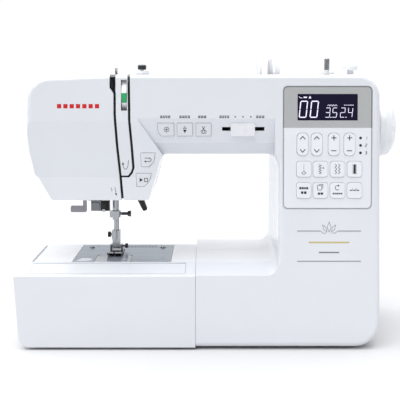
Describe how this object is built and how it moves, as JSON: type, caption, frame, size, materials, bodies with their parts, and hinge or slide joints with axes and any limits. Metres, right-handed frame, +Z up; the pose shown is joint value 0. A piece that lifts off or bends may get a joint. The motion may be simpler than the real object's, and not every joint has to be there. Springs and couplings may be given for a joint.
{
  "type": "sewing machine",
  "caption": "Computerised household sewing machine with free arm, extension table, key panel with display, handwheel and flush carrying handle.",
  "frame": {"origin": "on the table, under the middle of the machine's bounding box", "axes": "+X along the arm from the needle to the handwheel, +Y to the back, +Z up"},
  "size_m": [0.405, 0.1638, 0.3035],
  "materials": {
    "shell_plastic": "gloss",
    "key_plastic": "satin",
    "foot_rubber": "matte",
    "plate_steel": "satin",
    "clear_cover": "gloss",
    "panel_film": "satin",
    "belt_rubber": "matte",
    "motor_steel": "satin",
    "frame_alloy": "cast",
    "bush_bronze": "satin",
    "board": "satin",
    "black_plastic": "satin",
    "grey_plastic": "satin",
    "bright_steel": "polished"
  },
  "bodies": {
    "chassis": {"front_cover": "shell_plastic", "rear_cover": "shell_plastic", "face_cover": "shell_plastic", "base_plate": "shell_plastic", "rubber_feet": "foot_rubber", "free_arm_cover": "shell_plastic", "needle_plate": "plate_steel", "control_panel": "panel_film", "drive_belts": "belt_rubber", "motor": "motor_steel", "main_frame": "frame_alloy", "shaft_bushes": "bush_bronze", "main_board": "board", "power_socket": "black_plastic", "spool_well": "shell_plastic", "spool_pin": "shell_plastic", "winding_thread_guide": "shell_plastic", "winder_stopper": "shell_plastic", "bobbin_case": "black_plastic"},
    "extension_table": {"extension_table": "shell_plastic"},
    "extension_lid": {"extension_lid": "shell_plastic"},
    "hook_cover": {"hook_cover_plate": "clear_cover"},
    "upper_key_1": {"upper_key_1": "key_plastic"},
    "upper_key_2": {"upper_key_2": "key_plastic"},
    "upper_key_3": {"upper_key_3": "key_plastic"},
    "upper_key_4": {"upper_key_4": "key_plastic"},
    "lower_key_1": {"lower_key_1": "key_plastic"},
    "lower_key_2": {"lower_key_2": "key_plastic"},
    "lower_key_3": {"lower_key_3": "key_plastic"},
    "lower_key_4": {"lower_key_4": "key_plastic"},
    "pattern_tens_key": {"pattern_tens_key": "key_plastic"},
    "pattern_units_key": {"pattern_units_key": "key_plastic"},
    "width_key": {"width_key": "key_plastic"},
    "length_key": {"length_key": "key_plastic"},
    "lock_stitch_button": {"lock_stitch_button": "key_plastic"},
    "needle_position_button": {"needle_position_button": "key_plastic"},
    "thread_cutter_button": {"thread_cutter_button": "key_plastic"},
    "reverse_button": {"reverse_button": "key_plastic"},
    "start_stop_button": {"start_stop_button": "key_plastic"},
    "speed_slider": {"speed_slider": "shell_plastic"},
    "tension_dial": {"tension_dial": "grey_plastic"},
    "take_up_lever": {"take_up_lever": "bright_steel"},
    "needle_bar": {"needle_bar": "bright_steel", "needle_clamp": "bright_steel"},
    "presser_bar": {"presser_bar": "bright_steel"},
    "presser_foot": {"presser_foot": "bright_steel"},
    "presser_lifter": {"presser_lifter": "black_plastic"},
    "needle_threader": {"needle_threader": "grey_plastic"},
    "buttonhole_lever": {"buttonhole_lever": "grey_plastic"},
    "upper_shaft": {"upper_shaft": "bright_steel", "handwheel": "shell_plastic"},
    "lower_shaft": {"lower_shaft": "bright_steel"},
    "hook": {"hook_race": "plate_steel"},
    "bobbin": {"bobbin": "clear_cover"},
    "motor_pulley": {"motor_pulley": "bright_steel"},
    "feed_dog": {"feed_dog": "plate_steel"},
    "carrying_handle": {"carrying_handle": "shell_plastic"},
    "spool_cap": {"spool_cap": "shell_plastic"},
    "winder_spindle": {"winder_spindle": "bright_steel"},
    "power_switch": {"power_switch": "black_plastic"}
  },
  "joints": [
    {"name": "extension_table_slide", "type": "slide", "parent": "chassis", "child": "extension_table", "axis": [-1, 0, 0], "range_m": [0, 0.195]},
    {"name": "extension_lid_hinge", "type": "hinge", "parent": "extension_table", "child": "extension_lid", "pos_m": [-0.105, -0.0529, 0.08333], "axis": [-1, 0, 0], "range_deg": [0, 80]},
    {"name": "hook_cover_tilt", "type": "hinge", "parent": "chassis", "child": "hook_cover", "pos_m": [-0.103, -0.016, 0.0844], "axis": [-1, 0, 0], "range_deg": [0, 5]},
    {"name": "upper_key_1_press", "type": "slide", "parent": "chassis", "child": "upper_key_1", "axis": [0, 1, 0], "range_m": [0, 0.001], "stiffness_N_per_m": 900},
    {"name": "upper_key_2_press", "type": "slide", "parent": "chassis", "child": "upper_key_2", "axis": [0, 1, 0], "range_m": [0, 0.001], "stiffness_N_per_m": 900},
    {"name": "upper_key_3_press", "type": "slide", "parent": "chassis", "child": "upper_key_3", "axis": [0, 1, 0], "range_m": [0, 0.001], "stiffness_N_per_m": 900},
    {"name": "upper_key_4_press", "type": "slide", "parent": "chassis", "child": "upper_key_4", "axis": [0, 1, 0], "range_m": [0, 0.001], "stiffness_N_per_m": 900},
    {"name": "lower_key_1_press", "type": "slide", "parent": "chassis", "child": "lower_key_1", "axis": [0, 1, 0], "range_m": [0, 0.001], "stiffness_N_per_m": 900},
    {"name": "lower_key_2_press", "type": "slide", "parent": "chassis", "child": "lower_key_2", "axis": [0, 1, 0], "range_m": [0, 0.001], "stiffness_N_per_m": 900},
    {"name": "lower_key_3_press", "type": "slide", "parent": "chassis", "child": "lower_key_3", "axis": [0, 1, 0], "range_m": [0, 0.001], "stiffness_N_per_m": 900},
    {"name": "lower_key_4_press", "type": "slide", "parent": "chassis", "child": "lower_key_4", "axis": [0, 1, 0], "range_m": [0, 0.001], "stiffness_N_per_m": 900},
    {"name": "pattern_tens_key_rock", "type": "hinge", "parent": "chassis", "child": "pattern_tens_key", "pos_m": [0.097, -0.06497, 0.2135], "axis": [1, 0, 0], "range_deg": [-4, 4], "stiffness_Nm_per_rad": 0.15},
    {"name": "pattern_units_key_rock", "type": "hinge", "parent": "chassis", "child": "pattern_units_key", "pos_m": [0.1115, -0.06497, 0.2135], "axis": [1, 0, 0], "range_deg": [-4, 4], "stiffness_Nm_per_rad": 0.15},
    {"name": "width_key_rock", "type": "hinge", "parent": "chassis", "child": "width_key", "pos_m": [0.1291, -0.06497, 0.2135], "axis": [1, 0, 0], "range_deg": [-4, 4], "stiffness_Nm_per_rad": 0.15},
    {"name": "length_key_rock", "type": "hinge", "parent": "chassis", "child": "length_key", "pos_m": [0.1453, -0.06497, 0.2135], "axis": [1, 0, 0], "range_deg": [-4, 4], "stiffness_Nm_per_rad": 0.15},
    {"name": "lock_stitch_button_press", "type": "slide", "parent": "chassis", "child": "lock_stitch_button", "axis": [0, 1, 0], "range_m": [0, 0.0012], "stiffness_N_per_m": 900},
    {"name": "needle_position_button_press", "type": "slide", "parent": "chassis", "child": "needle_position_button", "axis": [0, 1, 0], "range_m": [0, 0.0012], "stiffness_N_per_m": 900},
    {"name": "thread_cutter_button_press", "type": "slide", "parent": "chassis", "child": "thread_cutter_button", "axis": [0, 1, 0], "range_m": [0, 0.0012], "stiffness_N_per_m": 900},
    {"name": "reverse_button_press", "type": "slide", "parent": "chassis", "child": "reverse_button", "axis": [0, 1, 0], "range_m": [0, 0.0012], "stiffness_N_per_m": 900},
    {"name": "start_stop_button_press", "type": "slide", "parent": "chassis", "child": "start_stop_button", "axis": [0, 1, 0], "range_m": [0, 0.0012], "stiffness_N_per_m": 900},
    {"name": "speed_slider_slide", "type": "slide", "parent": "chassis", "child": "speed_slider", "axis": [1, 0, 0], "range_m": [-0.0085, 0.0095]},
    {"name": "tension_dial_turn", "type": "hinge", "parent": "chassis", "child": "tension_dial", "pos_m": [-0.087, -0.0465, 0.2635], "axis": [1, 0, 0], "range_deg": [-140, 140]},
    {"name": "take_up_lever_swing", "type": "hinge", "parent": "chassis", "child": "take_up_lever", "pos_m": [-0.097, -0.008, 0.262], "axis": [1, 0, 0], "range_deg": [0, 55.2]},
    {"name": "needle_bar_slide", "type": "slide", "parent": "chassis", "child": "needle_bar", "axis": [0, 0, -1], "range_m": [0, 0.028]},
    {"name": "presser_bar_slide", "type": "slide", "parent": "chassis", "child": "presser_bar", "axis": [0, 0, 1], "range_m": [0, 0.006]},
    {"name": "presser_foot_pivot", "type": "hinge", "parent": "presser_bar", "child": "presser_foot", "pos_m": [-0.103, 0.002, 0.0926], "axis": [-1, 0, 0], "range_deg": [-2, 6]},
    {"name": "presser_lifter_turn", "type": "hinge", "parent": "chassis", "child": "presser_lifter", "pos_m": [-0.09, 0.052, 0.1615], "axis": [0, -1, 0], "range_deg": [0, 50]},
    {"name": "needle_threader_slide", "type": "slide", "parent": "chassis", "child": "needle_threader", "axis": [0, 0, -1], "range_m": [0, 0.025], "stiffness_N_per_m": 30, "springref_m": -0.02},
    {"name": "buttonhole_lever_slide", "type": "slide", "parent": "chassis", "child": "buttonhole_lever", "axis": [0, 0, -1], "range_m": [0, 0.025]},
    {"name": "handwheel_turn", "type": "hinge", "parent": "chassis", "child": "upper_shaft", "pos_m": [0, -0.01, 0.2275], "axis": [1, 0, 0], "continuous": true},
    {"name": "lower_shaft_turn", "type": "hinge", "parent": "chassis", "child": "lower_shaft", "pos_m": [0, -0.01, 0.046], "axis": [1, 0, 0], "continuous": true},
    {"name": "hook_turn", "type": "hinge", "parent": "chassis", "child": "hook", "pos_m": [-0.103, -0.0287, 0.06], "axis": [0, 0, 1], "continuous": true},
    {"name": "bobbin_turn", "type": "hinge", "parent": "chassis", "child": "bobbin", "pos_m": [-0.103, -0.0287, 0.066], "axis": [0, 0, 1], "continuous": true},
    {"name": "motor_turn", "type": "hinge", "parent": "chassis", "child": "motor_pulley", "pos_m": [0.11, 0.048, 0.05], "axis": [1, 0, 0], "continuous": true},
    {"name": "feed_dog_slide", "type": "slide", "parent": "chassis", "child": "feed_dog", "axis": [0, 1, 0], "range_m": [-0.0016, 0.002]},
    {"name": "carrying_handle_swing", "type": "hinge", "parent": "chassis", "child": "carrying_handle", "pos_m": [0, 0.0415, 0.2805], "axis": [1, 0, 0], "range_deg": [0, 90]},
    {"name": "spool_cap_slide", "type": "slide", "parent": "chassis", "child": "spool_cap", "axis": [-1, 0, 0], "range_m": [0, 0.04]},
    {"name": "winder_spindle_shift", "type": "slide", "parent": "chassis", "child": "winder_spindle", "axis": [1, 0, 0], "range_m": [0, 0.005]},
    {"name": "power_switch_rock", "type": "hinge", "parent": "chassis", "child": "power_switch", "pos_m": [0.174, 0.047, 0.065], "axis": [0, 0, 1], "range_deg": [-8, 8]}
  ],
  "couplings": [
    {"joint": "lower_shaft_turn", "follows": "handwheel_turn", "ratio": 1},
    {"joint": "hook_turn", "follows": "handwheel_turn", "ratio": -2},
    {"joint": "motor_turn", "follows": "handwheel_turn", "ratio": 3.1429},
    {"joint": "take_up_lever_swing", "follows": "needle_bar_slide", "rad_per_m": 34.283},
    {"joint": "presser_lifter_turn", "follows": "presser_bar_slide", "rad_per_m": 145.15}
  ]
}
